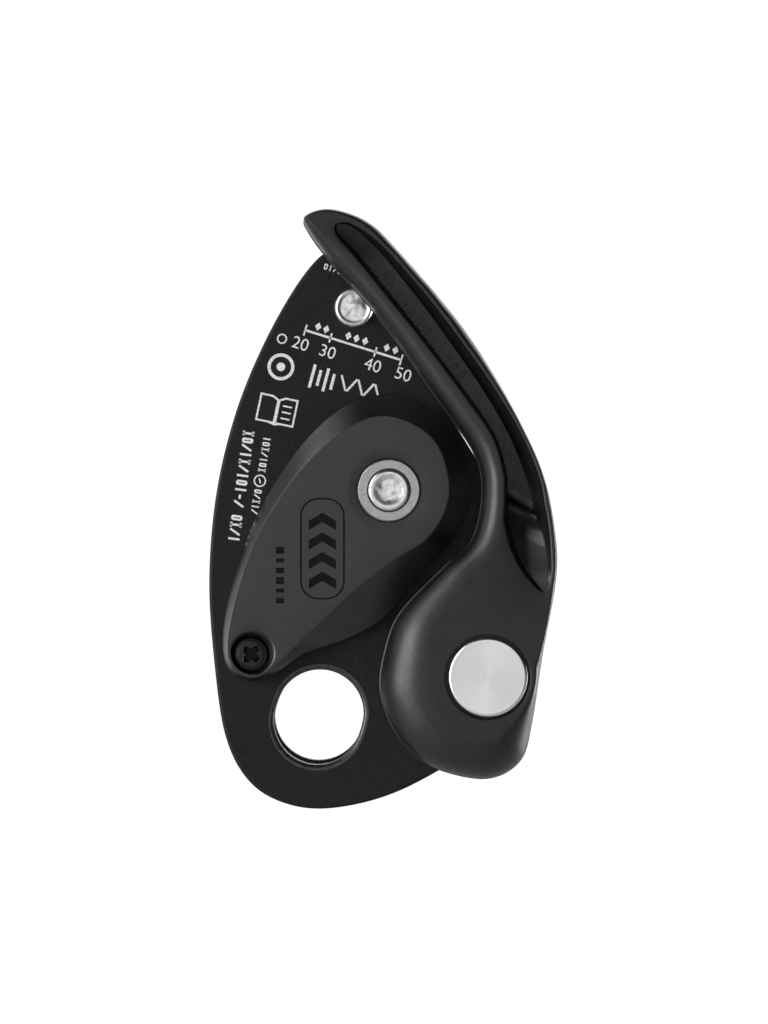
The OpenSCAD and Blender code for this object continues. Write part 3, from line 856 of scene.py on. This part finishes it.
plateMarks = {
    "height": 9.5, "thickness": 0.02,
    "scaleStart": (-2.5, 71.7), "scaleTilt": 17.3,
    "ticks": (0, 4.9, 13.6, 18.6),
    "diamonds": [(-0.4, 72.1), (1.1, 71.6), (5.2, 70.4), (6.7, 69.9), (8.3, 69.4), (12.3, 68.2),
                 (13.9, 67.7)],
    "numbers": [("20", -3.4, 69.1), ("30", 1.6, 67.6), ("40", 10.0, 65.1), ("50", 15.6, 63.4)],
    "numberSize": 3.2,
    "ringAt": (-6.8, 70.1), "targetAt": (-7.0, 64.9), "smallRingAt": (-10.9, 43.8),
    "bars": (4.4, 3.0, 4.4, 3.0),
    "bookAt": (-7.8, 56.6), "bookTilt": -12,
    # half of an open book, its outer and inner edge
    "page": [(0, -2.6), (0, 2.3), (-1.2, 2.9), (-3.6, 2.9), (-3.6, -2.3), (-1.2, -2.3)],
    "innerPage": [(-0.3, -1.95), (-0.3, 2.05), (-1.3, 2.55), (-3.25, 2.55), (-3.25, -1.95),
                  (-1.3, -1.95)],
}


def markPlace(x, z, tilt):
    # on the plate's face; a positive tilt turns clockwise
    return (Matrix.Translation((x * mm, -plateMarks["height"] * mm, z * mm))
            @ Matrix.Rotation(math.radians(tilt), 4, "Y"))


def markBar(bm, x, z, length, width, tilt):
    flat = Matrix.Diagonal((length * mm, 2 * plateMarks["thickness"] * mm, width * mm, 1))
    bmesh.ops.create_cube(bm, size=1, matrix=markPlace(x, z, tilt) @ flat)


def markLoop(bm, loops):
    # flat shape with holes, with a little thickness
    high, thick = plateMarks["height"], plateMarks["thickness"]
    lows = [startRing(bm, loop, high - thick) for loop in loops]
    highs = [growRings(bm, low, [(loop, high + thick)]) for low, loop in zip(lows, loops)]
    fillRings(bm, *lows)
    fillRings(bm, *highs)


def markText(bm, words, x, z, size, tilt):
    curve = bpy.data.curves.new("number", "FONT")
    curve.body = words
    curve.size = size * mm
    curve.align_x = "CENTER"
    curve.align_y = "CENTER"
    curve.extrude = plateMarks["thickness"] * mm
    text = bpy.data.objects.new("number", curve)
    bpy.context.scene.collection.objects.link(text)
    bpy.context.view_layer.update()
    mesh = bpy.data.meshes.new_from_object(text.evaluated_get(bpy.context.evaluated_depsgraph_get()))
    mesh.transform(markPlace(x, z, tilt) @ Matrix.Rotation(math.pi / 2, 4, "X"))
    bm.from_mesh(mesh)
    bpy.data.objects.remove(text)
    bpy.data.curves.remove(curve)
    bpy.data.meshes.remove(mesh)


def markRing(bm, at, outer, inner, count=32):
    markLoop(bm, [circleLoop(at, outer, count), circleLoop(at, inner, count)])


def signRow(bm, start, end, tall, signs):
    # row of plain strokes, boxes and slants from start towards end, in the place of a line of type
    start = Vector(start)
    run = Vector(end) - start
    pitch = run.length / len(signs)
    turn = math.atan2(run.y, run.x)
    tilt = -math.degrees(turn)
    run.normalize()
    stroke = 0.19 * tall
    for k, sign in enumerate(signs):
        x, z = start + run * pitch * (k + 0.5)
        if sign == "i":
            markBar(bm, x, z, stroke, tall, tilt)
        elif sign == "o":
            wide = pitch * 0.74
            box = roundedPanel(0, 0, wide, tall, stroke, 3)
            hollow = roundedPanel(0, 0, wide - 2 * stroke, tall - 2 * stroke, stroke * 0.4, 3)
            markLoop(bm, [placeLoop(shape, (x, z), turn) for shape in (box, hollow)])
        elif sign == "v":
            markBar(bm, x, z, stroke, tall, tilt + 28)
        elif sign == "-":
            markBar(bm, x, z, pitch * 0.6, stroke, tilt)
        elif sign == "=":
            for side in (-1, 1):
                lift = Vector((-run.y, run.x)) * side * tall * 0.42
                markBar(bm, x + lift.x, z + lift.y, pitch * 0.66, stroke, tilt)
            markBar(bm, x, z, stroke, tall, tilt)


def makePlateMarks():
    m = plateMarks
    bm = bmesh.new()
    # scale with diamonds above it and plain numbers below it
    tilt = m["scaleTilt"]
    turn = math.radians(-tilt)
    along = Vector((math.cos(turn), math.sin(turn)))
    start = Vector(m["scaleStart"])
    middle = start + along * m["ticks"][-1] / 2
    markBar(bm, middle.x, middle.y, m["ticks"][-1], 0.42, tilt)
    for tick in m["ticks"]:
        at = start + along * tick
        markBar(bm, at.x, at.y, 0.32, 2.1 if tick in (m["ticks"][0], m["ticks"][-1]) else 1.8, tilt)
    for x, z in m["diamonds"]:
        markLoop(bm, [placeLoop(((0.6, 0), (0, 0.8), (-0.6, 0), (0, -0.8)), (x + 0.3, z + 0.25), turn)])
    for words, x, z in m["numbers"]:
        markText(bm, words, x, z, m["numberSize"], tilt)
    # plain ring in front of the first number
    markRing(bm, m["ringAt"], 0.95, 0.68)
    # plain target, four bars and a zigzag in the place of the approval signs
    markRing(bm, m["targetAt"], 2.5, 1.9, 48)
    markLoop(bm, [circleLoop(m["targetAt"], 0.8, 32)])
    for k, size in enumerate(m["bars"]):
        markBar(bm, -1.2 + 1.25 * k, 63.2 - 0.36 * k, 0.55, size, 15)
    for k in range(5):
        markBar(bm, 4.6 + 1.55 * k, 61.9 - 0.42 * k, 0.4, 3.0, 15 + (28 if k % 2 else -28))
    # open book: read before use
    bookTurn = math.radians(m["bookTilt"])
    for side in (1, -1):
        halves = [[(side * u, v) for u, v in shape][::-side] for shape in (m["page"], m["innerPage"])]
        markLoop(bm, [placeLoop(half, m["bookAt"], bookTurn) for half in halves])
    for x, z in placeLoop([(1.8, 1.3 - 1.15 * k) for k in range(3)], m["bookAt"], bookTurn):
        markBar(bm, x, z, 1.7, 0.3, -m["bookTilt"])
    # rows of plain strokes in the place of the long lines of type
    signRow(bm, (-12.9, 53.2), (-15.8, 32.4), 2.1, "=ovi=vioi-v o=vi")
    signRow(bm, (-9.5, 52.0), (-10.6, 45.3), 1.4, "io=vio=")
    markRing(bm, m["smallRingAt"], 1.15, 0.9)
    markBar(bm, *m["smallRingAt"], 1.0, 0.25, 78)
    signRow(bm, (-11.15, 42.3), (-12.0, 37.6), 1.4, "ov=iv")
    signRow(bm, (0.9, 83.6), (5.2, 82.2), 1.1, "oivo=")
    finishPiece(bm, "laserMarks", ["mark"], "frame_body", sharpAngle=20)


makePlateMarks()


# stage: pale floor, soft boxes, camera

stageSetup = {
    "floorSize": 1.0, "floorHeight": -0.16,
    # name: place, size, brightness
    "lights": {
        "frontBox": ((-0.1, -1.35, 0.15), 1.0, 0.95),
        "keyBox": ((-1.05, -0.68, 0.1), 0.75, 8.0),
        "topBox": ((-0.85, -0.35, 0.7), 0.5, 4.0),
        "lowBox": ((0.52, 0.2, -0.12), 0.35, 8.0),
        "backBox": ((0.3, 1.3, 0.5), 0.9, 1.6),
    },
    "aim": (0.012, 0, 0.038),            # the lights all point here
    "surround": (0.015, 0.95),           # brightness in front of and behind the object
    "backdrop": 1.05,                    # brightness that only the camera sees
    "camera": (12.09, -659.5, 38.02), "lens": 123.4, "sensor": 36,       # place in millimetres
}


def makeStage():
    s = stageSetup
    bm = bmesh.new()
    bmesh.ops.create_grid(bm, x_segments=1, y_segments=1, size=s["floorSize"] / 2,
                          matrix=Matrix.Translation((0, 0, s["floorHeight"])))
    mesh = bpy.data.meshes.new("paleFloor")
    bm.to_mesh(mesh)
    bm.free()
    floor = bpy.data.objects.new("paleFloor", mesh)
    bpy.context.scene.collection.objects.link(floor)
    material, tree, shader, place = startMaterial("matPaleFloor", "#cfcfd0", 0.8)
    tint(tree, shader, grain(tree, place, 30, 2), "#cccccd", "#d2d2d3")
    mesh.materials.append(material)
    aim = Vector(s["aim"])
    for name, (place, size, bright) in s["lights"].items():
        light = bpy.data.lights.new(name, "AREA")
        light.size = size
        light.energy = bright * math.pi * size ** 2
        lamp = bpy.data.objects.new(name, light)
        lamp.location = place
        lamp.rotation_euler = (aim - Vector(place)).to_track_quat("-Z", "Y").to_euler()
        bpy.context.scene.collection.objects.link(lamp)
    # white to the eye, dim to the object
    world = bpy.data.worlds.new("whiteStudio")
    world.use_nodes = True
    tree = world.node_tree
    background = next(n for n in tree.nodes if n.type == "BACKGROUND")
    background.inputs["Color"].default_value = (1, 1, 1, 1)
    seen = addNode(tree, "ShaderNodeLightPath").outputs["Is Camera Ray"]
    way = addNode(tree, "ShaderNodeTexCoord").outputs["Generated"]
    depth = addNode(tree, "ShaderNodeSeparateXYZ", None, {"Vector": way}).outputs["Y"]
    wall = ramp(tree, depth, 0.05, 0.5, *s["surround"])
    strength = addNode(tree, "ShaderNodeMapRange", {"To Max": s["backdrop"]},
                       {"Value": seen, "To Min": wall})
    tree.links.new(strength.outputs["Result"], background.inputs["Strength"])
    bpy.context.scene.world = world
    bpy.context.scene.view_settings.view_transform = "Standard"
    camera = bpy.data.objects.new("viewCamera", bpy.data.cameras.new("viewCamera"))
    camera.data.lens = s["lens"]
    camera.data.sensor_width = s["sensor"]
    camera.data.clip_start = 0.01
    camera.location = Vector(s["camera"]) * mm
    camera.rotation_euler = (math.pi / 2, 0, 0)
    bpy.context.scene.collection.objects.link(camera)
    bpy.context.scene.camera = camera


makeStage()
print("stage ready")
